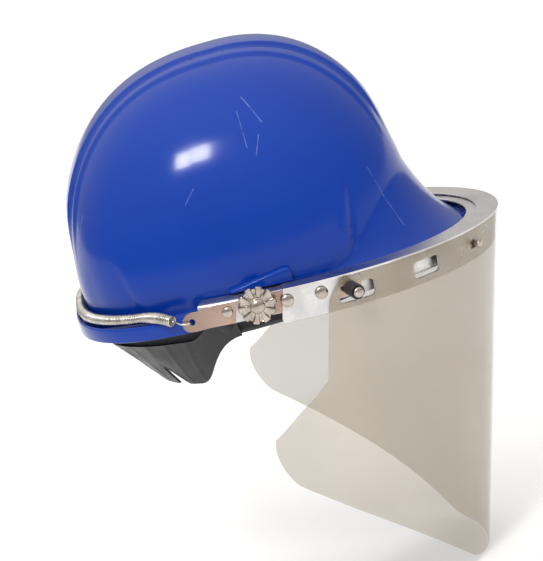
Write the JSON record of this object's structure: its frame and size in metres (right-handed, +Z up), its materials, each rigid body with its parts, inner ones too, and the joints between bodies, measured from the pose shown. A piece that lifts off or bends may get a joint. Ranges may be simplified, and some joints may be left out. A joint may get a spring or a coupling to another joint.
{
  "type": "hard hat with face shield",
  "caption": "Glossy blue cap-style hard hat with head suspension and a spring-held metal bracket that carries a lift-up clear face shield.",
  "frame": {"origin": "centre of the head opening, in the plane of the brim's lower edge, midway between the star knobs", "axes": "-Y is the way the wearer looks, +X is the wearer's left, +Z is up"},
  "size_m": [0.2628, 0.281, 0.3655],
  "materials": {
    "shell": "high gloss, light scratches",
    "aluminium": "satin, slightly scuffed",
    "steel": "polished",
    "spring_steel": "bright wire",
    "dark_plastic": "moulded satin",
    "soft_pad": "woven pad cover",
    "webbing": "woven webbing",
    "rubber": "smooth",
    "window": "clear, lightly tinted",
    "fibre": "pressed fibre"
  },
  "bodies": {
    "helmet": {"shell": "shell", "headband": "dark_plastic", "brow_pad": "soft_pad", "crown_strap_1": "webbing", "crown_strap_2": "webbing", "crown_pad": "soft_pad", "hanger_key_front_left": "dark_plastic", "hanger_key_front_right": "dark_plastic", "hanger_key_rear_left": "dark_plastic", "hanger_key_rear_right": "dark_plastic", "nape_pin_left": "dark_plastic", "nape_pin_right": "dark_plastic", "base_frame": "aluminium", "spring_ear_left": "steel", "spring_ear_right": "steel", "ear_rivet_left": "steel", "ear_rivet_right": "steel", "pivot_bolt_left": "steel", "pivot_bolt_right": "steel", "friction_washer_left": "fibre", "friction_washer_right": "fibre", "tension_spring": "spring_steel"},
    "visor_carrier": {"carrier_frame": "aluminium", "carrier_arm_left": "steel", "carrier_arm_right": "steel", "carrier_rivet_left_1": "steel", "carrier_rivet_left_2": "steel", "carrier_rivet_right_1": "steel", "carrier_rivet_right_2": "steel", "visor_window": "window", "window_post_left": "steel", "window_post_right": "steel", "post_sleeve_left": "rubber", "post_sleeve_right": "rubber", "front_stud_left": "steel", "front_stud_right": "steel"},
    "nape_support": {"nape_strap": "dark_plastic"},
    "left_star_knob": {"star_knob_left": "steel", "knob_nut_left": "steel"},
    "right_star_knob": {"star_knob_right": "steel", "knob_nut_right": "steel"}
  },
  "joints": [
    {"name": "visor_lift", "type": "hinge", "parent": "helmet", "child": "visor_carrier", "pos_m": [0, 0, 0.0096], "axis": [-1, 0, 0], "range_deg": [0, 90]},
    {"name": "nape_tilt", "type": "hinge", "parent": "helmet", "child": "nape_support", "pos_m": [0, 0.022, -0.006], "axis": [1, 0, 0], "range_deg": [-8, 0]},
    {"name": "left_knob_turn", "type": "hinge", "parent": "helmet", "child": "left_star_knob", "pos_m": [0, 0, 0.0096], "axis": [1, 0, 0], "continuous": true},
    {"name": "right_knob_turn", "type": "hinge", "parent": "helmet", "child": "right_star_knob", "pos_m": [0, 0, 0.0096], "axis": [-1, 0, 0], "continuous": true}
  ]
}
